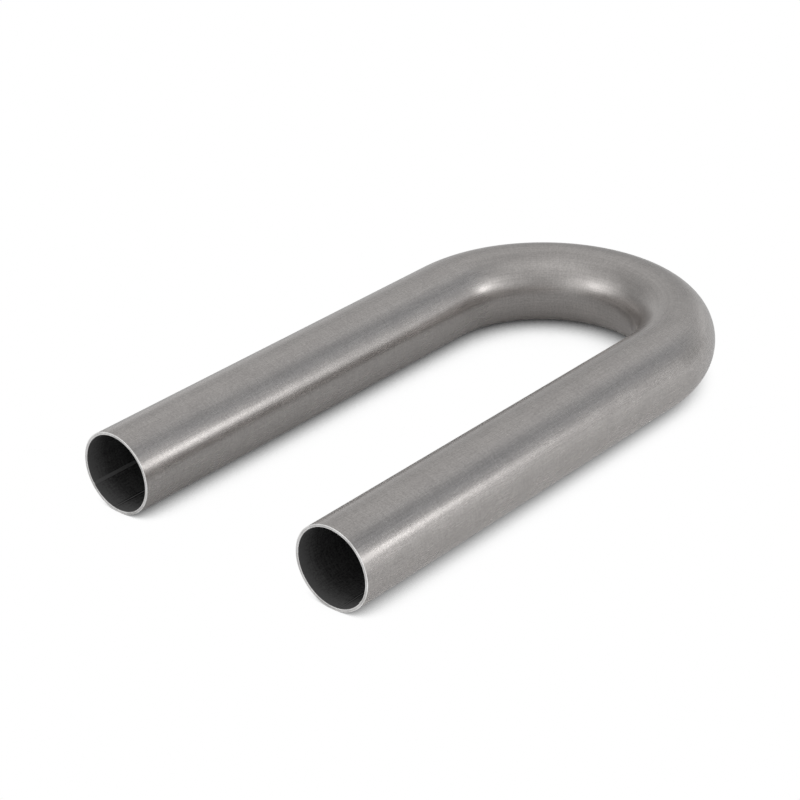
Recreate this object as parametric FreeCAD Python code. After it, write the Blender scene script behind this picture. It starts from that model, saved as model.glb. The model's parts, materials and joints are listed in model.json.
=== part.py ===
import FreeCAD, Part
import math
import os

# Return bend: one length of round steel tube, bent through a half turn into a U with two equal straight
# legs. It lies flat. X runs across the legs, +Y towards the closed end, +Z up. The origin is the middle of
# the part's floor rectangle, so both open mouths face -Y.

# Driving dimensions, in millimetres and degrees

# tube
outside_diameter = 47.625
wall = 1.65

# route of the tube's centreline
centreline_radius = 76.9
bend_angle = 180.0
leg_length = 270.7

# what bending does to the section: its side nearest the bend's centre flattens, and the bore drifts away
# from that centre, so the wall is thick inside the bend and thin outside it
inner_flattening = 1.2
bore_drift = 0.25
ease_in_angle = 35.0

# chamfer on the inner and outer edges of the cut ends
edge_break = 0.25

# widest turn that one cubic span of the bend's surface takes
span_angle = 15.0

# Values that follow from them

outside_radius = outside_diameter / 2.0
bore_radius = outside_radius - wall
span_count = math.ceil(bend_angle / span_angle)
closed_end = centreline_radius + outside_radius
bend_centre = FreeCAD.Vector(0.0, (leg_length - closed_end) / 2.0, outside_radius)
up = FreeCAD.Vector(0.0, 0.0, 1.0)

# A round section is four quarter arcs: nine control points 45 degrees apart, of which every other one is a
# corner that stands off the arc and weighs less.
quarters = 4
corner_weight = math.cos(math.pi / quarters)
section_weights = [corner_weight if place % 2 else 1.0 for place in range(2 * quarters + 1)]


def outward(turn):
    """Unit vector from the bend's centre to the tube, after a turn in radians from the +X leg."""
    return FreeCAD.Vector(math.cos(turn), math.sin(turn), 0.0)


def onward(turn):
    """Unit vector along the tube, after a turn in radians from the +X leg."""
    return up.cross(outward(turn))


def distortion(turn):
    """Share of the full distortion, from none at a tangent to all past the ease-in, and its rate."""
    ease_in = math.radians(ease_in_angle)
    left = math.radians(bend_angle) - turn
    reach = max(0.0, min(turn, left) / ease_in)
    if reach >= 1.0:
        return 1.0, 0.0
    rate = 6.0 * reach * (1.0 - reach) / ease_in
    return reach * reach * (3.0 - 2.0 * reach), rate if turn < left else -rate


def section_pole(turn, place, radius, drift):
    """One control point of the section after a turn, and its travel per radian of turn.

    The places go round the section from its top, over the side away from the bend's centre.
    """
    angle = place * math.pi / quarters
    side = math.sin(angle) / section_weights[place]
    rise = math.cos(angle) / section_weights[place]
    share, rate = distortion(turn)
    shift = drift + inner_flattening * (1.0 - side) / 2.0
    reach = centreline_radius + radius * side + share * shift
    pole = bend_centre + outward(turn) * reach + up * (radius * rise)
    travel = onward(turn) * reach + outward(turn) * (rate * shift)
    return pole, travel


def pole_row(place, radius, drift):
    """Control points of one place along the bend: a cubic for each span, tangent to the travel at its ends."""
    span = math.radians(bend_angle) / span_count
    row = []
    for station in range(span_count + 1):
        pole, travel = section_pole(station * span, place, radius, drift)
        handle = travel * (span / 3.0)
        if station > 0:
            row.append(pole - handle)
        if station in (0, span_count):
            row.append(pole)
        if station < span_count:
            row.append(pole + handle)
    return row


def bend_face(radius, drift):
    """Round skin of the bend, closed on itself at the top and open at the two tangents."""
    rows = [pole_row(place, radius, drift) for place in range(len(section_weights))]
    weights = [[weight] * len(rows[0]) for weight in section_weights]
    round_knots = list(range(quarters + 1))
    round_multiplicities = [3] + [2] * (quarters - 1) + [3]
    bend_knots = list(range(span_count + 1))
    bend_multiplicities = [4] + [2] * (span_count - 1) + [4]
    skin = Part.BSplineSurface()
    skin.buildFromPolesMultsKnots(
        rows, round_multiplicities, bend_multiplicities, round_knots, bend_knots, False, False, 2, 3, weights
    )
    return skin.toShape()


def bend_solid(radius, drift):
    """The bend filled, between flat faces at its two tangents."""
    skin = bend_face(radius, drift)
    lids = [Part.Face(Part.Wire([edge])) for edge in skin.Edges if edge.isClosed()]
    sewn = Part.Compound([skin] + lids)
    sewn.sewShape()
    return Part.Solid(sewn.Shells[0])


def ring(centre, direction, radius):
    """Circle about the tube's axis, begun at its top."""
    circle = Part.Circle(centre, direction, radius)
    circle.XAxis = up
    return Part.Wire([circle.toShape()])


def leg_solid(turn, direction, radius, mouth_radius):
    """One leg filled, from its tangent to its mouth, where the edge break narrows or widens it."""
    tangent = bend_centre + outward(turn) * centreline_radius
    inset = tangent + direction * (leg_length - edge_break)
    mouth = tangent + direction * leg_length
    rings = [
        ring(tangent, direction, radius),
        ring(inset, direction, radius),
        ring(mouth, direction, mouth_radius),
    ]
    return Part.makeLoft(rings, True, True)


def filled_tube(radius, drift, mouth_radius):
    """Bend and legs filled to one surface of the tube, its outside or its bore."""
    last_turn = math.radians(bend_angle)
    legs = [
        leg_solid(0.0, onward(0.0) * -1.0, radius, mouth_radius),
        leg_solid(last_turn, onward(last_turn), radius, mouth_radius),
    ]
    return bend_solid(radius, drift).fuse(legs)


outside = filled_tube(outside_radius, 0.0, outside_radius - edge_break)
bore = filled_tube(bore_radius, bore_drift, bore_radius + edge_break)
bent_tube = outside.cut(bore).Solids[0]

os.makedirs("parts", exist_ok=True)
bent_tube.exportStep("parts/bent_tube.step")
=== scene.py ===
"""Return bend: a satin stainless tube bent into a U, dressed for its photograph on a white floor."""

import json
import logging
import math
from dataclasses import dataclass
from enum import Enum
from typing import Any

import bpy
from mathutils import Matrix, Vector


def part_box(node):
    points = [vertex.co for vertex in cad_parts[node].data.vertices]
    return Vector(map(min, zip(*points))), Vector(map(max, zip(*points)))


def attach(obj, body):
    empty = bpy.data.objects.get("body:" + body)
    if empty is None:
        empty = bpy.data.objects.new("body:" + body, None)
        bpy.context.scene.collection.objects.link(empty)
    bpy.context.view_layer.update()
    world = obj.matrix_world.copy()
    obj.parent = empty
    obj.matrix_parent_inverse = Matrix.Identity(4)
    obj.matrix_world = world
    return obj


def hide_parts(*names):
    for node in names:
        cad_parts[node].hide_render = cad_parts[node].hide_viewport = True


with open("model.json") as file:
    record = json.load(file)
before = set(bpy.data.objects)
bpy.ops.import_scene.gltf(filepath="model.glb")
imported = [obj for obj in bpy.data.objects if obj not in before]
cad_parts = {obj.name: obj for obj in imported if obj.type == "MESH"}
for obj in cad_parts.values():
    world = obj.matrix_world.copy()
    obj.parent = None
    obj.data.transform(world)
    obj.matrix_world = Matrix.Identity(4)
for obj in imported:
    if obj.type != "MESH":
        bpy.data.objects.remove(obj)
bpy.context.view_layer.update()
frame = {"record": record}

LOG = logging.getLogger("return_bend")
MILLIMETRE = 0.001
FULL_TURN = 2.0 * math.pi
QUARTER_TURN = math.pi / 2.0

# What the tube's form leaves on its mesh for the finishes: the place on the skin of the unbent tube, the
# surface that a face belongs to, and an accent whose meaning depends on the surface
PLACE_ATTRIBUTE = "skin_place"
SURFACE_ATTRIBUTE = "surface"
ACCENT_ATTRIBUTE = "accent"

# The colour inputs and the colour output of a Mix node, by place
MIX_FIRST, MIX_SECOND, MIX_RESULT = 6, 7, 2

# How near two whole numbers have to be for a Compare operation to call them the same
WHOLE_NUMBER_TOLERANCE = 0.5

Number = int | float
Colour = tuple[float, float, float]
WHITE: Colour = (1.0, 1.0, 1.0)


class Surface(Enum):
    """The three surfaces of the tube, each with a finish of its own."""

    OUTSIDE = 0
    BORE = 1
    CUT_END = 2


class Value:
    """A node's output that takes part in Python expressions. Each operation adds a Math node."""

    def __init__(self, wiring: "Wiring", socket: bpy.types.NodeSocket) -> None:
        """Keeps the output and the wiring that it belongs to."""
        self.wiring = wiring
        self.socket = socket

    def math(self, operation: str, *others: "Value | Number") -> "Value":
        """Adds one Math node with this value first.

        Args:
            operation: the node's operation, such as SINE.
            others: the further operands.

        Returns:
            The node's result.
        """
        return self.wiring.math(operation, self, *others)

    def __add__(self, other: "Value | Number") -> "Value":
        """This value plus another."""
        return self.math("ADD", other)

    def __radd__(self, other: Number) -> "Value":
        """A number plus this value."""
        return self.wiring.math("ADD", other, self)

    def __sub__(self, other: "Value | Number") -> "Value":
        """This value less another."""
        return self.math("SUBTRACT", other)

    def __rsub__(self, other: Number) -> "Value":
        """A number less this value."""
        return self.wiring.math("SUBTRACT", other, self)

    def __mul__(self, other: "Value | Number") -> "Value":
        """This value times another."""
        return self.math("MULTIPLY", other)

    def __rmul__(self, other: Number) -> "Value":
        """A number times this value."""
        return self.wiring.math("MULTIPLY", other, self)

    def __truediv__(self, other: "Value | Number") -> "Value":
        """This value over another."""
        return self.math("DIVIDE", other)

    def sin(self) -> "Value":
        """Sine of an angle in radians."""
        return self.math("SINE")

    def cos(self) -> "Value":
        """Cosine of an angle in radians."""
        return self.math("COSINE")

    def unit(self) -> "Value":
        """This value held between 0 and 1."""
        return self.math("MAXIMUM", 0.0).math("MINIMUM", 1.0)

    def eased(self) -> "Value":
        """This value held between 0 and 1, with a level start and end."""
        held = self.unit()
        return held * held * (3.0 - 2.0 * held)


class Wiring:
    """Adds nodes to one tree, a shader's or a geometry's, and links them."""

    def __init__(self, tree: bpy.types.NodeTree) -> None:
        """Keeps the tree."""
        self.tree = tree

    @classmethod
    def afresh(cls, owner: bpy.types.Material | bpy.types.World) -> "Wiring":
        """The wiring of a material's or a world's own tree, which is emptied first."""
        owner.use_nodes = True
        owner.node_tree.nodes.clear()
        return cls(owner.node_tree)

    def add(self, kind: str, settings: dict[str, Any], sockets: dict[Any, Any]) -> bpy.types.Node:
        """Adds one node.

        Args:
            kind: the node's type.
            settings: its properties, which are set before any socket.
            sockets: for each input, by name or place, its value or what is linked to it.

        Returns:
            The new node.
        """
        node = self.tree.nodes.new(kind)
        for name, setting in settings.items():
            setattr(node, name, setting)
        for name, given in sockets.items():
            self._feed(node.inputs[name], given)
        return node

    def value(
        self, kind: str, settings: dict[str, Any], sockets: dict[Any, Any], output: str | int = 0
    ) -> Value:
        """Adds one node and gives one of its outputs, the first unless another is named."""
        return Value(self, self.add(kind, settings, sockets).outputs[output])

    def math(self, operation: str, *operands: Value | Number) -> Value:
        """Adds one Math node on the operands and gives its result."""
        return self.value("ShaderNodeMath", {"operation": operation}, dict(enumerate(operands)))

    def steady(self, number: Number) -> Value:
        """A number as a node's output."""
        return self.math("ADD", number, 0.0)

    def vector(self, x: Value, y: Value, z: Value | Number = 0.0) -> Value:
        """Adds one Combine XYZ node and gives its vector."""
        return self.value("ShaderNodeCombineXYZ", {}, {0: x, 1: y, 2: z})

    def blend(self, first: Colour | Value, second: Colour, share: Value) -> Value:
        """Adds one Mix node and gives a colour between two, by a share from 0 to 1."""
        start = first if isinstance(first, Value) else (*first, 1.0)
        sockets = {"Factor": share, MIX_FIRST: start, MIX_SECOND: (*second, 1.0)}
        return self.value("ShaderNodeMix", {"data_type": "RGBA"}, sockets, MIX_RESULT)

    def _feed(self, socket: bpy.types.NodeSocket, given: Any) -> None:
        """Links an output to the input, or sets the input's own value."""
        if isinstance(given, Value):
            self.tree.links.new(given.socket, socket)
        elif isinstance(given, bpy.types.Node):
            self.tree.links.new(given.outputs[0], socket)
        else:
            socket.default_value = given


@dataclass(frozen=True)
class BoreLine:
    """A raised line that runs the whole length of the bore, between two shallow grooves.

    The angle is in degrees from the section's top, over the side away from the bend's centre. The flanks are
    the sloped sides of the line and the grooves. The grooves' depth is a share of the line's height.
    """

    angle: float
    width: float
    height: float
    flank: float
    groove_width: float
    groove_share: float


@dataclass(frozen=True)
class TubeSizes:
    """The tube's real sizes, in metres and radians."""

    outside_radius: float
    wall: float
    bend_radius: float
    leg_length: float
    bend_centre_y: float
    inner_flattening: float = 1.2 * MILLIMETRE
    bore_drift: float = 0.25 * MILLIMETRE
    ease_in: float = math.radians(35.0)
    edge_break: float = 0.25 * MILLIMETRE

    @classmethod
    def from_frame(cls, node: str, bore_mount: str) -> "TubeSizes":
        """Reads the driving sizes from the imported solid.

        Args:
            node: the tube's CAD node.
            bore_mount: the record's mount that states the bore.

        Returns:
            The sizes, with the rest at what bending this tube does to it.
        """
        low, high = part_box(node)
        outside_radius = (high.z - low.z) / 2.0
        bend_radius = (high.x - low.x) / 2.0 - outside_radius
        bore = next(m for m in frame["record"]["mounts"] if m["name"] == bore_mount)
        closed_end = bend_radius + outside_radius
        return cls(
            outside_radius=outside_radius,
            wall=outside_radius - bore["dims"]["r_mm"] * MILLIMETRE,
            bend_radius=bend_radius,
            leg_length=high.y - low.y - closed_end,
            bend_centre_y=high.y - closed_end,
        )


# The named inputs of the tube's tree, by the kind of their sockets
TUBE_INPUTS = {
    "NodeSocketFloat": (
        "Outside Radius",
        "Wall",
        "Bend Radius",
        "Leg Length",
        "Bend Centre Y",
        "Inner Flattening",
        "Bore Drift",
        "Ease In",
        "Edge Break",
    ),
    "NodeSocketInt": ("Around Steps", "Bend Steps", "Leg Steps"),
    "NodeSocketMaterial": ("Outside Finish", "Bore Finish", "Cut End Finish"),
}


@dataclass
class TubeForm:
    """Geometry Nodes tree for the whole skin of a tube that is bent through a half turn.

    Every part of the skin is a grid whose columns go round the section and whose rows go along the tube or
    round its lip. The columns gather where the bore's raised lines run. The grids meet on common rings and
    are merged there.

    The lip support is how far behind each mouth the long skins end and the lip's grid takes over. Hand work
    is how unevenly the edges are broken, as a share of the edge break. Dulling is how far bending dulls the
    outside. Its swing is what the side nearest the bend's centre has more of it, and the far side less.
    """

    name: str
    bore_lines: tuple[BoreLine, ...]
    gather_angle: float = math.radians(147.0)
    gather_share: float = 0.6
    lip_support: float = 0.8 * MILLIMETRE
    round_steps: int = 4
    face_steps: int = 3
    hand_work: float = 0.45
    hand_work_scale: float = 2.2
    hand_work_detail: float = 3.0
    first_lip_seed: float = 3.0
    last_lip_seed: float = 7.0
    dulling: float = 0.6
    dulling_swing: float = 0.4
    merge_distance: float = 0.002 * MILLIMETRE

    def __post_init__(self) -> None:
        """Starts an empty tree with its named inputs."""
        self.tree = bpy.data.node_groups.new(self.name, "GeometryNodeTree")
        self.wiring = Wiring(self.tree)
        for kind, labels in TUBE_INPUTS.items():
            for label in labels:
                self.tree.interface.new_socket(label, in_out="INPUT", socket_type=kind)
        self.tree.interface.new_socket("Geometry", in_out="OUTPUT", socket_type="NodeSocketGeometry")
        entry = self.wiring.add("NodeGroupInput", {}, {})
        self.given = {socket.name: Value(self.wiring, socket) for socket in entry.outputs if socket.name}

    def grid(self, rows: Value) -> tuple[Value, Value, Value]:
        """A flat grid with one unit between its lines.

        Args:
            rows: how many steps the grid has along the tube or round the lip.

        Returns:
            The mesh, the angle of each point round the section, and its row.
        """
        wires, columns = self.wiring, self.given["Around Steps"]
        mesh = wires.value(
            "GeometryNodeMeshGrid",
            {},
            {"Size X": columns, "Size Y": rows, "Vertices X": columns + 1.0, "Vertices Y": rows + 1.0},
        )
        position = wires.add("GeometryNodeInputPosition", {}, {})
        place = wires.add("ShaderNodeSeparateXYZ", {}, {0: position})
        even = (Value(wires, place.outputs[0]) / columns + 0.5) * FULL_TURN
        angle = even - self.gather_share * (even - self.gather_angle).sin()
        return mesh, angle, Value(wires, place.outputs[1]) + rows * 0.5

    def bore_relief(self, angle: Value) -> Value:
        """How far the raised lines stand proud of the bore at an angle round the section."""
        bore_radius = self.given["Outside Radius"] - self.given["Wall"]
        total: Value | float = 0.0
        for line in self.bore_lines:
            groove = line.height * line.groove_share
            aside = ((angle - math.radians(line.angle)) * bore_radius).math("ABSOLUTE")
            crest = ((line.width / 2.0 - aside) / line.flank).eased()
            skirt = ((line.width / 2.0 + line.groove_width - aside) / line.flank).eased()
            total = total + crest * (line.height + groove) - skirt * groove
        return total

    def bent_share(self, turn: Value) -> Value:
        """Share of the bend's full distortion, from none at a tangent to all past the ease-in."""
        return (turn.math("MINIMUM", math.pi - turn) / self.given["Ease In"]).eased()

    def place(self, turn: Value, back: Value, angle: Value, radius: Value, drift: Value | Number) -> Value:
        """Point of the skin in the row frame.

        Args:
            turn: turn round the bend from the +X leg, in radians.
            back: distance from the bend back along a leg.
            angle: angle round the section from its top, over the side away from the bend's centre.
            radius: the section's radius there.
            drift: how far the section's middle moves away from the bend's centre at full distortion.

        Returns:
            The point, as a vector.
        """
        given, side = self.given, angle.sin()
        shift = given["Inner Flattening"] * (1.0 - side) * 0.5 + drift
        reach = given["Bend Radius"] + radius * side + self.bent_share(turn) * shift
        return self.wiring.vector(
            turn.cos() * reach,
            given["Bend Centre Y"] + turn.sin() * reach - back,
            given["Outside Radius"] + radius * angle.cos(),
        )

    def finish_part(
        self,
        mesh: Value,
        point: Value,
        angle: Value,
        travel: Value,
        surface: Value | int,
        accent: Value,
        flip: bool,
    ) -> Value:
        """Moves a grid's points to the skin and stores what its finish needs.

        Args:
            mesh: the flat grid.
            point: where each of its points goes.
            angle: angle of each point round the section.
            travel: distance of each point along the tube's centreline from the +X mouth.
            surface: the surface that each face belongs to.
            accent: how far bending dulled the outside, how proud the bore's wall stands as a share of its
                first line, or how near the end face's edges a point is.
            flip: whether the grid's faces have to be turned to look outwards.

        Returns:
            The finished grid.
        """
        wires, radius = self.wiring, self.given["Outside Radius"]
        around = wires.vector(angle.sin() * radius, angle.cos() * radius, travel)
        unrolled = wires.vector(angle * radius, travel)
        for name, data_type, domain, value in (
            ("UVMap", "FLOAT2", "CORNER", unrolled),
            (PLACE_ATTRIBUTE, "FLOAT_VECTOR", "POINT", around),
            (ACCENT_ATTRIBUTE, "FLOAT", "POINT", accent),
            (SURFACE_ATTRIBUTE, "INT", "FACE", surface),
        ):
            mesh = wires.value(
                "GeometryNodeStoreNamedAttribute",
                {"data_type": data_type, "domain": domain},
                {"Geometry": mesh, "Name": name, "Value": value},
            )
        mesh = wires.value("GeometryNodeSetPosition", {}, {"Geometry": mesh, "Position": point})
        return wires.value("GeometryNodeFlipFaces", {}, {"Mesh": mesh}) if flip else mesh

    def long_skin(self, surface: Surface) -> Value:
        """The outside or the bore, from one lip to the other."""
        given = self.given
        legs, bend, leg_length = given["Leg Steps"], given["Bend Steps"], given["Leg Length"]
        mesh, angle, row = self.grid(legs * 2.0 + bend)
        turn = ((row - legs) / bend).unit() * math.pi
        first_leg = (1.0 - row / legs).math("MAXIMUM", 0.0)
        last_leg = ((row - legs - bend) / legs).math("MAXIMUM", 0.0)
        straight = leg_length - self.lip_support
        travel = leg_length - straight * first_leg + given["Bend Radius"] * turn + straight * last_leg
        if surface is Surface.BORE:
            relief = self.bore_relief(angle)
            radius, drift = given["Outside Radius"] - given["Wall"] - relief, given["Bore Drift"]
            accent = relief / self.bore_lines[0].height
        else:
            radius, drift = given["Outside Radius"], 0.0
            accent = self.bent_share(turn) * (self.dulling - self.dulling_swing * angle.sin())
        point = self.place(turn, straight * (first_leg + last_leg), angle, radius, drift)
        flip = surface is Surface.BORE
        return self.finish_part(mesh, point, angle, travel, surface.value, accent, flip)

    def lip(self, at_start: bool) -> Value:
        """One cut end: a deburred outer edge, the flat face across the wall and a deburred inner edge.

        Args:
            at_start: whether it is the +X leg's end, where the rows of the long skins start.

        Returns:
            The finished lip, with one row more at either side that reaches back to a long skin.
        """
        wires, given = self.wiring, self.given
        rows = 1 + self.round_steps + self.face_steps + self.round_steps + 1
        mesh, angle, row = self.grid(wires.steady(rows))
        step = row - 1.0
        outer_turn = (step / self.round_steps).unit() * QUARTER_TURN
        step = step - self.round_steps
        across = (step / self.face_steps).unit()
        step = step - self.face_steps
        inner_turn = (step / self.round_steps).unit() * QUARTER_TURN
        leaving, entering = 1.0 - row.unit(), (step - self.round_steps).unit()

        seed = self.first_lip_seed if at_start else self.last_lip_seed
        spot = wires.vector(angle.sin(), angle.cos(), seed)
        sockets = {"Vector": spot, "Scale": self.hand_work_scale, "Detail": self.hand_work_detail}
        noise = wires.value("ShaderNodeTexNoise", {}, sockets)
        edge = given["Edge Break"] * (1.0 + (noise - 0.5) * (2.0 * self.hand_work))
        face_width = given["Wall"] + self.bore_relief(angle) - edge * 2.0
        radius = given["Outside Radius"] - edge * (1.0 - outer_turn.cos())
        radius = radius - face_width * across - edge * inner_turn.sin()
        inset = (leaving + entering) * (self.lip_support - edge)
        inset = inset + edge * (1.0 - outer_turn.sin()) + edge * (1.0 - inner_turn.cos())

        leg_length = given["Leg Length"]
        if at_start:
            turn, travel = wires.steady(0.0), inset
        else:
            turn, travel = wires.steady(math.pi), leg_length * 2.0 + given["Bend Radius"] * math.pi - inset
        point = self.place(turn, leg_length - inset, angle, radius, 0.0)
        past_outside = row.math("GREATER_THAN", 1.0)
        past_face = row.math("GREATER_THAN", rows - 1.0)
        into_bore = Surface.BORE.value - Surface.CUT_END.value
        surface = past_outside * Surface.CUT_END.value + past_face * into_bore
        edge_share = (across * 2.0 - 1.0).math("ABSOLUTE")
        return self.finish_part(mesh, point, angle, travel, surface, edge_share, at_start)

    def build(self) -> bpy.types.NodeTree:
        """Joins the parts into one closed skin and gives each surface its finish.

        Returns:
            The finished tree.
        """
        wires = self.wiring
        joined = wires.add("GeometryNodeJoinGeometry", {}, {})
        parts = (
            self.long_skin(Surface.OUTSIDE),
            self.long_skin(Surface.BORE),
            self.lip(True),
            self.lip(False),
        )
        for part in parts:
            self.tree.links.new(part.socket, joined.inputs[0])
        sockets = {"Geometry": joined, "Distance": self.merge_distance}
        skin = wires.value("GeometryNodeMergeByDistance", {}, sockets)
        skin = wires.value("GeometryNodeSetShadeSmooth", {}, {"Geometry": skin, "Shade Smooth": True})
        skin = wires.value("GeometryNodeRealizeInstances", {}, {"Geometry": skin})
        surface = wires.value(
            "GeometryNodeInputNamedAttribute", {"data_type": "INT"}, {"Name": SURFACE_ATTRIBUTE}
        )
        for kind, label in (
            (Surface.OUTSIDE, "Outside Finish"),
            (Surface.BORE, "Bore Finish"),
            (Surface.CUT_END, "Cut End Finish"),
        ):
            chosen = surface.math("COMPARE", kind.value, WHOLE_NUMBER_TOLERANCE)
            sockets = {"Geometry": skin, "Selection": chosen, "Material": self.given[label]}
            skin = wires.value("GeometryNodeSetMaterial", {}, sockets)
        wires.add("NodeGroupOutput", {}, {0: skin})
        return self.tree


@dataclass(frozen=True)
class Grain:
    """A noise pattern laid along the tube, and how far it moves a finish's tone, roughness and relief.

    Around and along say how fine it is round the section and along it, in millimetres.
    """

    name: str
    around: float
    along: float
    detail: float = 2.0
    seed: float = 0.0
    tone: float = 0.0
    roughness: float = 0.0
    relief: float = 0.0

    def lay(self, wires: Wiring) -> Value:
        """Adds the pattern to a material.

        Args:
            wires: the material's wiring.

        Returns:
            The pattern, about 0 and within a half each way.
        """
        place = wires.value("ShaderNodeAttribute", {"attribute_name": PLACE_ATTRIBUTE}, {}, "Vector")
        round_scale, long_scale = 1.0 / (self.around * MILLIMETRE), 1.0 / (self.along * MILLIMETRE)
        scaled = wires.value(
            "ShaderNodeVectorMath",
            {"operation": "MULTIPLY_ADD"},
            {0: place, 1: (round_scale, round_scale, long_scale), 2: (self.seed, self.seed, self.seed)},
        )
        sockets = {"Vector": scaled, "Scale": 1.0, "Detail": self.detail}
        return wires.value("ShaderNodeTexNoise", {"label": self.name}, sockets) - 0.5


@dataclass(frozen=True)
class Finish:
    """A metal surface whose tone, roughness and relief come from grains laid along the tube.

    The tone is the share of the light colour. It is given for where the grains are level and the accent is 0.
    """

    name: str
    dark: Colour
    light: Colour
    tone: float
    roughness: float
    relief_depth: float
    grains: tuple[Grain, ...]
    metallic: float = 1.0
    specular: float = 0.5

    def make(self) -> bpy.types.Material:
        """Makes the material.

        Returns:
            The material, with one shader.
        """
        material = bpy.data.materials.new(self.name)
        wires = Wiring.afresh(material)
        accent = wires.value("ShaderNodeAttribute", {"attribute_name": ACCENT_ATTRIBUTE}, {}, "Fac")
        laid = [(grain, grain.lay(wires)) for grain in self.grains]
        tone = sum(
            (pattern * grain.tone for grain, pattern in laid if grain.tone), self.base_tone(wires, accent)
        )
        roughness = sum(
            (pattern * grain.roughness for grain, pattern in laid if grain.roughness),
            self.base_roughness(accent),
        )
        relief = sum((pattern * grain.relief for grain, pattern in laid if grain.relief), 0.0)
        bump = wires.value(
            "ShaderNodeBump", {}, {"Strength": 1.0, "Distance": self.relief_depth, "Height": relief}
        )
        shader = wires.add(
            "ShaderNodeBsdfPrincipled",
            {},
            {
                "Base Color": self.colour(wires, tone, accent),
                "Metallic": self.metallic,
                "Specular IOR Level": self.specular,
                "Roughness": roughness,
                "Normal": bump,
            },
        )
        wires.add("ShaderNodeOutputMaterial", {}, {0: shader})
        return material

    def base_tone(self, wires: Wiring, accent: Value) -> Value:
        """The tone before the grains move it."""
        raise NotImplementedError

    def base_roughness(self, accent: Value) -> Value | float:
        """The roughness before the grains move it."""
        return self.roughness

    def colour(self, wires: Wiring, tone: Value, accent: Value) -> Value:
        """The colour at a tone."""
        return wires.blend(self.dark, self.light, tone.unit())


@dataclass(frozen=True)
class SatinSteel(Finish):
    """Belt polished outside: fine grain along the tube, a cloudy mottle and a few long drag lines.

    The accent is how far bending dulled the surface and drew out its brush marks.
    """

    name: str = "satin_steel"
    dark: Colour = (0.376, 0.358, 0.347)
    light: Colour = (0.530, 0.506, 0.490)
    tone: float = 0.5
    roughness: float = 0.26
    relief_depth: float = 0.004 * MILLIMETRE
    grains: tuple[Grain, ...] = (
        Grain("streak", around=0.55, along=14.0, tone=0.7, roughness=0.08, relief=0.6),
        Grain("speck", around=0.9, along=1.1, detail=3.0, seed=11.0, tone=1.9, relief=0.35),
        Grain("cross", around=9.0, along=0.7, seed=23.0, tone=0.8, relief=0.3),
        Grain("cloud", around=11.0, along=19.0, detail=3.0, seed=37.0, tone=0.5, roughness=0.07),
        Grain(
            "drag", around=1.3, along=260.0, detail=1.0, seed=51.0, tone=0.3, roughness=0.06, relief=0.6
        ),
    )
    metallic: float = 0.95
    brushing: Grain = Grain("brushing", around=0.7, along=90.0, seed=71.0, tone=0.25)
    brushing_in_bend: float = 0.7
    bend_dulling: float = 0.06

    def base_tone(self, wires: Wiring, accent: Value) -> Value:
        """The tone before the other grains, with brush marks that bending makes stronger."""
        return self.tone + self.brushing.lay(wires) * (self.brushing.tone + accent * self.brushing_in_bend)

    def base_roughness(self, accent: Value) -> Value:
        """The roughness before the grains, greater where bending dulled the surface."""
        return self.roughness + accent * self.bend_dulling


@dataclass(frozen=True)
class DullBoreWithPaintedShade(Finish):
    """Unpolished bore: dull, with fine scale, turning marks and drawing marks.

    Its dark colour is partly the wall's own and partly painted shade for the inside of the tube. The accent
    is how proud the wall stands, which gives the raised lines a painted highlight and their grooves painted
    shade.
    """

    name: str = "dull_bore_with_painted_shade"
    # Dark and light: partly the bore's own colour and partly painted shade for the inside of the tube
    dark: Colour = (0.02, 0.02, 0.02)
    light: Colour = (0.138, 0.138, 0.138)
    tone: float = 0.4
    roughness: float = 0.55
    relief_depth: float = 0.008 * MILLIMETRE
    grains: tuple[Grain, ...] = (
        Grain("scale", around=0.9, along=1.2, detail=3.0, seed=5.0, tone=1.1, roughness=0.12, relief=0.5),
        Grain("turning", around=30.0, along=0.6, seed=17.0, tone=0.5, roughness=0.1, relief=0.5),
        Grain("drawing", around=1.1, along=60.0, seed=29.0, tone=0.4, relief=0.5),
    )
    metallic: float = 0.0
    specular: float = 0.0
    # Painted highlight on the raised lines and painted shade in their grooves, and a painted highlight colour
    # near the crests
    crest_highlight_groove_shade: float = 1.6
    crest_highlight_colour: Colour = (0.20, 0.20, 0.20)
    crest_highlight_start: float = 0.3
    crest_highlight_gain: float = 0.8

    def base_tone(self, wires: Wiring, accent: Value) -> Value:
        """The tone before the grains, with a painted highlight on the raised lines and painted shade in their
        grooves.
        """
        return self.tone + accent * self.crest_highlight_groove_shade

    def colour(self, wires: Wiring, tone: Value, accent: Value) -> Value:
        """The colour at a tone, with a painted highlight near the crests of the raised lines."""
        # Painted highlight near the crests of the raised lines
        crest = ((accent - self.crest_highlight_start) * self.crest_highlight_gain).unit()
        return wires.blend(super().colour(wires, tone, accent), self.crest_highlight_colour, crest)


@dataclass(frozen=True)
class CutSteel(Finish):
    """End face, freshly cut and deburred, with fine marks across the wall; bright, partly by a painted
    highlight.

    The accent is how near the face's edges a point is. The deburred edges carry a painted highlight.
    """

    name: str = "cut_steel"
    # Dark and light: partly the fresh metal's own colour and partly a painted highlight on the rim
    dark: Colour = (0.62, 0.61, 0.60)
    light: Colour = (0.99, 0.98, 0.97)
    tone: float = 0.3
    roughness: float = 0.38
    relief_depth: float = 0.01 * MILLIMETRE
    grains: tuple[Grain, ...] = (
        Grain("nick", around=0.5, along=5.0, detail=3.0, seed=3.0, tone=0.9, roughness=0.1, relief=1.0),
        Grain("patch", around=9.0, along=9.0, seed=13.0, tone=2.4, roughness=0.15),
    )
    metallic: float = 0.45
    # Painted highlight on the deburred edges
    edge_highlight: float = 0.6
    edge_highlight_start: float = 0.35
    edge_highlight_gain: float = 2.0

    def base_tone(self, wires: Wiring, accent: Value) -> Value:
        """The tone before the grains, with a painted highlight on the deburred edges."""
        return self.tone + ((accent - self.edge_highlight_start) * self.edge_highlight_gain).eased() * self.edge_highlight


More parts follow.
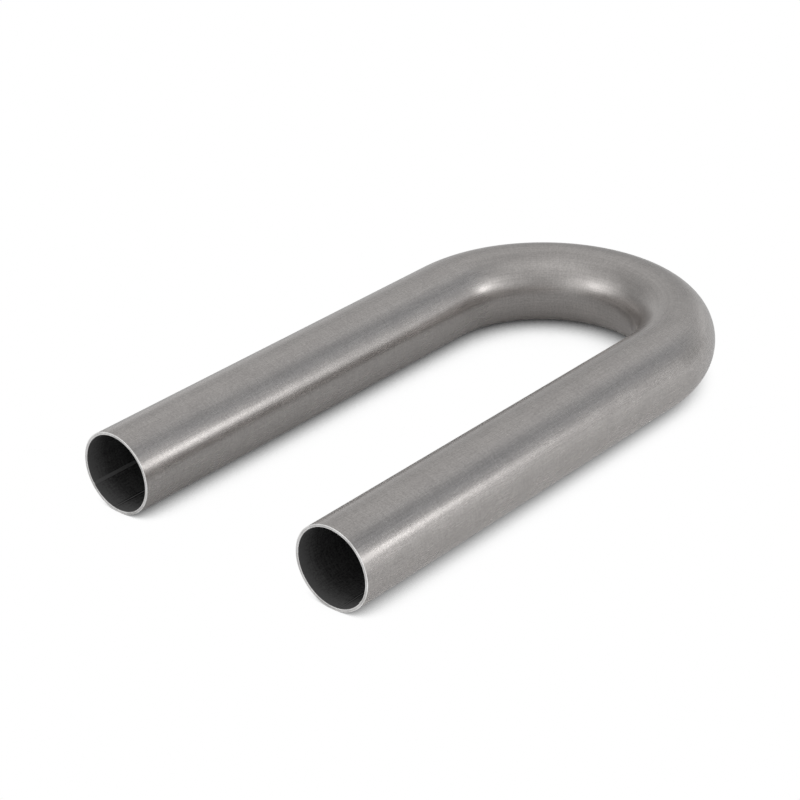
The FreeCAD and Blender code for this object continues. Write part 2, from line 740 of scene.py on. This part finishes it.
@dataclass(frozen=True)
class BentTube:
    """The one piece: both legs, the half-turn bend, the bore with its two raised lines and the cut ends.

    The wide line is the tube's own weld bead. The narrow one is a drawn ridge.
    """

    sizes: TubeSizes
    piece_name: str = "bent_tube_dressed"
    around_steps: int = 240
    bend_steps: int = 108
    leg_steps: int = 20
    bore_lines: tuple[BoreLine, ...] = (
        BoreLine(
            angle=124.0,
            width=2.2 * MILLIMETRE,
            height=0.16 * MILLIMETRE,
            flank=0.35 * MILLIMETRE,
            groove_width=0.45 * MILLIMETRE,
            groove_share=0.25,
        ),
        BoreLine(
            angle=170.0,
            width=0.9 * MILLIMETRE,
            height=0.14 * MILLIMETRE,
            flank=0.30 * MILLIMETRE,
            groove_width=0.55 * MILLIMETRE,
            groove_share=0.7,
        ),
    )

    def build(self) -> bpy.types.Object:
        """Grows the skin with Geometry Nodes and bakes it to a plain mesh.

        Returns:
            The finished piece, with its place in its mesh.
        """
        tree = TubeForm("tube_form", self.bore_lines).build()
        piece = bpy.data.objects.new(self.piece_name, bpy.data.meshes.new(self.piece_name))
        bpy.context.scene.collection.objects.link(piece)
        modifier = piece.modifiers.new(tree.name, "NODES")
        modifier.node_group = tree
        wanted = self.inputs()
        for item in tree.interface.items_tree:
            if item.in_out == "INPUT":
                modifier[item.identifier] = wanted[item.name]
        depsgraph = bpy.context.evaluated_depsgraph_get()
        baked = bpy.data.meshes.new_from_object(
            piece.evaluated_get(depsgraph), preserve_all_data_layers=True, depsgraph=depsgraph
        )
        piece.modifiers.clear()
        piece.data = baked
        return piece

    def inputs(self) -> dict[str, Any]:
        """The value of each named input of the tree."""
        sizes = self.sizes
        return {
            "Outside Radius": sizes.outside_radius,
            "Wall": sizes.wall,
            "Bend Radius": sizes.bend_radius,
            "Leg Length": sizes.leg_length,
            "Bend Centre Y": sizes.bend_centre_y,
            "Inner Flattening": sizes.inner_flattening,
            "Bore Drift": sizes.bore_drift,
            "Ease In": sizes.ease_in,
            "Edge Break": sizes.edge_break,
            "Around Steps": self.around_steps,
            "Bend Steps": self.bend_steps,
            "Leg Steps": self.leg_steps,
            "Outside Finish": SatinSteel().make(),
            "Bore Finish": DullBoreWithPaintedShade().make(),
            "Cut End Finish": CutSteel().make(),
        }


def direction(azimuth: float, elevation: float) -> Vector:
    """Unit vector towards a place round the object.

    Args:
        azimuth: degrees, 0 towards -Y and 90 towards +X.
        elevation: degrees above the floor.

    Returns:
        The vector from the object to that place.
    """
    across, up = math.radians(azimuth), math.radians(elevation)
    return Vector((math.sin(across) * math.cos(up), -math.cos(across) * math.cos(up), math.sin(up)))


@dataclass(frozen=True)
class Softbox:
    """A soft oval lamp that faces the object. Where it isn't mirrored, gloss doesn't show it."""

    name: str
    azimuth: float
    elevation: float
    power: float
    width: float = 0.30
    height: float = 0.30
    distance: float = 1.5
    mirrored: bool = True

    def build(self, target: Vector) -> bpy.types.Object:
        """Hangs the lamp.

        Args:
            target: the point that it faces.

        Returns:
            The lamp's object.
        """
        lamp = bpy.data.lights.new(self.name, "AREA")
        lamp.shape = "ELLIPSE"
        lamp.size, lamp.size_y = self.width, self.height
        lamp.energy = self.power
        holder = bpy.data.objects.new(self.name, lamp)
        away = direction(self.azimuth, self.elevation)
        holder.location = target + away * self.distance
        holder.rotation_euler = away.to_track_quat("Z", "Y").to_euler()
        holder.visible_camera = False
        holder.visible_glossy = self.mirrored
        bpy.context.scene.collection.objects.link(holder)
        return holder


class WorldDirections:
    """The directions in which the world is seen from the object."""

    def __init__(self, wires: Wiring) -> None:
        """Adds the node that gives each direction."""
        self.wires = wires
        self.towards = wires.value("ShaderNodeTexCoord", {}, {}, "Generated")

    def facing(self, azimuth: float, elevation: float) -> Value:
        """Cosine between each direction and one place round the object."""
        sockets = {0: self.towards, 1: direction(azimuth, elevation)}
        return self.wires.value("ShaderNodeVectorMath", {"operation": "DOT_PRODUCT"}, sockets, "Value")


@dataclass(frozen=True)
class Glow:
    """A round patch of the studio's walls that stands out most at one place and fades evenly round it."""

    azimuth: float
    elevation: float
    sharpness: float
    strength: float = 1.0

    def shine(self, directions: WorldDirections) -> Value:
        """How far the patch stands out in each direction."""
        aside = directions.facing(self.azimuth, self.elevation) - 1.0
        return (aside * self.sharpness).math("EXPONENT") * self.strength


@dataclass(frozen=True)
class Seam:
    """A dark gap between two wall panels, along a ring about an axis and faded out at both ends.

    The azimuth and elevation are the axis's, and the ring lies where its cosine to the axis is as given.
    """

    azimuth: float = 162.0
    elevation: float = 38.5
    ring_cosine: float = 0.986
    half_width: float = 0.008
    depth: float = 0.31
    fade_azimuth: float = 155.0
    fade_elevation: float = 41.8
    fade_sharpness: float = 40.0

    def shade(self, directions: WorldDirections) -> Value:
        """How much light the gap takes away in each direction."""
        aside = (directions.facing(self.azimuth, self.elevation) - self.ring_cosine) / self.half_width
        fade = (directions.facing(self.fade_azimuth, self.fade_elevation) - 1.0) * self.fade_sharpness
        return (fade - aside * aside).math("EXPONENT") * self.depth


class RayPath:
    """What looks at the floor or the walls: the camera, a mirror or glass, or a mirror's own mirror."""

    def __init__(self, wires: Wiring) -> None:
        """Adds the Light Path node."""
        path = wires.add("ShaderNodeLightPath", {}, {})
        self.camera, glossy, through, mirrorings = (
            Value(wires, path.outputs[name])
            for name in ("Is Camera Ray", "Is Glossy Ray", "Is Transmission Ray", "Glossy Depth")
        )
        self.in_mirror = (glossy + through).unit()
        self.in_second_mirror = (mirrorings - 1.0).unit()


@dataclass(frozen=True)
class Studio:
    """White floor, pale walls that light the object softly from all round, and three softboxes.

    The camera sees the floor as white, darkened where the object closes it in. Everything else sees grey
    paper under the lamps, so the floor's white adds no light to the object.
    """

    target: Vector
    floor_half: float = 12.0
    floor_colour: float = 0.6
    floor_mirrored: float = 0.8
    second_mirror_gain: float = 0.9
    floor_seen: float = 2.5
    shadow_power: float = 1.15
    shadow_reach: float = 0.3
    shadow_samples: int = 16
    white_shoulder: float = 0.4
    wall_level: float = 0.30
    wall_mirrored: float = 0.1
    glows: tuple[Glow, ...] = (
        Glow(azimuth=-36.0, elevation=18.0, sharpness=16.0, strength=1.378),
        Glow(azimuth=0.0, elevation=18.0, sharpness=16.0, strength=0.711),
        Glow(azimuth=72.0, elevation=18.0, sharpness=16.0, strength=0.356),
        Glow(azimuth=108.0, elevation=18.0, sharpness=16.0, strength=1.167),
        Glow(azimuth=-120.0, elevation=0.0, sharpness=20.0, strength=0.578),
        Glow(azimuth=120.0, elevation=0.0, sharpness=20.0, strength=0.433),
        Glow(azimuth=180.0, elevation=0.0, sharpness=20.0, strength=0.556),
        Glow(azimuth=-180.0, elevation=42.0, sharpness=14.0, strength=0.289),
        Glow(azimuth=-135.0, elevation=42.0, sharpness=14.0, strength=0.300),
        Glow(azimuth=45.0, elevation=42.0, sharpness=14.0, strength=0.189),
        Glow(azimuth=0.0, elevation=66.0, sharpness=14.0, strength=0.544),
        Glow(azimuth=90.0, elevation=66.0, sharpness=14.0, strength=0.389),
        Glow(azimuth=-90.0, elevation=66.0, sharpness=14.0, strength=0.289),
        Glow(azimuth=146.0, elevation=33.0, sharpness=80.0, strength=0.10),
        Glow(azimuth=176.0, elevation=48.0, sharpness=60.0, strength=0.07),
    )
    seam: Seam = Seam()
    cool_panel: Glow = Glow(azimuth=150.0, elevation=38.0, sharpness=22.0)
    cool_tint: Colour = (0.95, 0.985, 1.03)
    softboxes: tuple[Softbox, ...] = (
        Softbox("right_softbox", azimuth=122.0, elevation=17.0, power=0.55),
        Softbox("left_softbox", azimuth=-28.0, elevation=20.0, power=0.56),
        Softbox("fill_softbox", azimuth=96.0, elevation=13.0, power=13.0, width=0.50, mirrored=False),
    )

    def floor_paper(self) -> bpy.types.Material:
        """The floor's material, which tells apart what looks at it.

        Returns:
            The material.
        """
        material = bpy.data.materials.new("floor_paper")
        wires = Wiring.afresh(material)
        path = RayPath(wires)
        level = path.in_mirror * (self.floor_mirrored - self.floor_colour) + self.floor_colour
        level = level * (path.in_second_mirror * self.second_mirror_gain + 1.0)
        paper = wires.add("ShaderNodeBsdfDiffuse", {}, {"Color": wires.vector(level, level, level)})
        openness = wires.value(
            "ShaderNodeAmbientOcclusion",
            {"samples": self.shadow_samples},
            {"Distance": self.shadow_reach},
            "AO",
        )
        seen = openness.math("POWER", self.shadow_power) * self.floor_seen
        seen = seen.math("SMOOTH_MIN", 1.0, self.white_shoulder)
        white = wires.add("ShaderNodeEmission", {}, {"Color": wires.vector(seen, seen, seen)})
        mixed = wires.add("ShaderNodeMixShader", {}, {0: path.camera, 1: paper, 2: white})
        wires.add("ShaderNodeOutputMaterial", {}, {0: mixed})
        return material

    def build_floor(self) -> bpy.types.Object:
        """The floor, which shows white to the camera and keeps the object's shadow."""
        half = self.floor_half
        corners = [(-half, -half, 0.0), (half, -half, 0.0), (half, half, 0.0), (-half, half, 0.0)]
        mesh = bpy.data.meshes.new("floor")
        mesh.from_pydata(corners, [], [(0, 1, 2, 3)])
        mesh.materials.append(self.floor_paper())
        floor = bpy.data.objects.new("floor", mesh)
        bpy.context.scene.collection.objects.link(floor)
        return floor

    def build_walls(self) -> bpy.types.World:
        """The studio's walls and ceiling, as the world."""
        world = bpy.data.worlds.new("studio_walls")
        wires = Wiring.afresh(world)
        directions = WorldDirections(wires)
        level = sum((glow.shine(directions) for glow in self.glows), self.wall_level)
        level = level - self.seam.shade(directions)
        path = RayPath(wires)
        white_share = (path.camera + path.in_mirror * self.wall_mirrored).unit()
        strength = level * (1.0 - white_share) + white_share
        cool = self.cool_panel.shine(directions) * (1.0 - path.camera)
        tint = wires.blend(WHITE, self.cool_tint, cool)
        background = wires.add("ShaderNodeBackground", {}, {"Color": tint, "Strength": strength})
        wires.add("ShaderNodeOutputWorld", {}, {0: background})
        bpy.context.scene.world = world
        return world

    def build(self) -> None:
        """Sets up the floor, the walls and the lamps."""
        self.build_floor()
        self.build_walls()
        for softbox in self.softboxes:
            softbox.build(self.target)


@dataclass(frozen=True)
class PhotoCamera:
    """The camera at the photograph's place, found from the outlines of the tube.

    The place is in metres, the angles are in degrees, and the sensor and focal length are in millimetres.
    """

    place: tuple[float, float, float] = (0.742802, -0.888742, 0.619201)
    azimuth: float = 41.310257
    elevation: float = 27.479056
    roll: float = -1.592823
    sensor_width: float = 36.0
    focal_length: float = 103.935

    def build(self) -> bpy.types.Object:
        """Sets the camera up and makes it the scene's.

        Returns:
            The camera's object.
        """
        lens = bpy.data.cameras.new("photo_camera")
        lens.sensor_width = self.sensor_width
        lens.lens = self.focal_length
        camera = bpy.data.objects.new("photo_camera", lens)
        turned = direction(self.azimuth, self.elevation).to_track_quat("Z", "Y").to_matrix()
        turned = turned @ Matrix.Rotation(math.radians(self.roll), 3, "Z")
        camera.matrix_world = Matrix.Translation(self.place) @ turned.to_4x4()
        bpy.context.scene.collection.objects.link(camera)
        bpy.context.scene.camera = camera
        return camera


def main() -> None:
    """Builds the tube, the studio and the camera, in that order."""
    logging.basicConfig(level=logging.INFO, format="%(name)s: %(message)s")
    sizes = TubeSizes.from_frame("bent_tube", "near_bore")
    tube = BentTube(sizes).build()
    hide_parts("bent_tube")
    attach(tube, "root")
    LOG.info("%s: %d faces, %d points", tube.name, len(tube.data.polygons), len(tube.data.vertices))
    Studio(target=Vector((0.0, 0.0, sizes.outside_radius))).build()
    PhotoCamera().build()
    bpy.context.scene.view_settings.view_transform = "Standard"


if __name__ == "__main__":
    main()
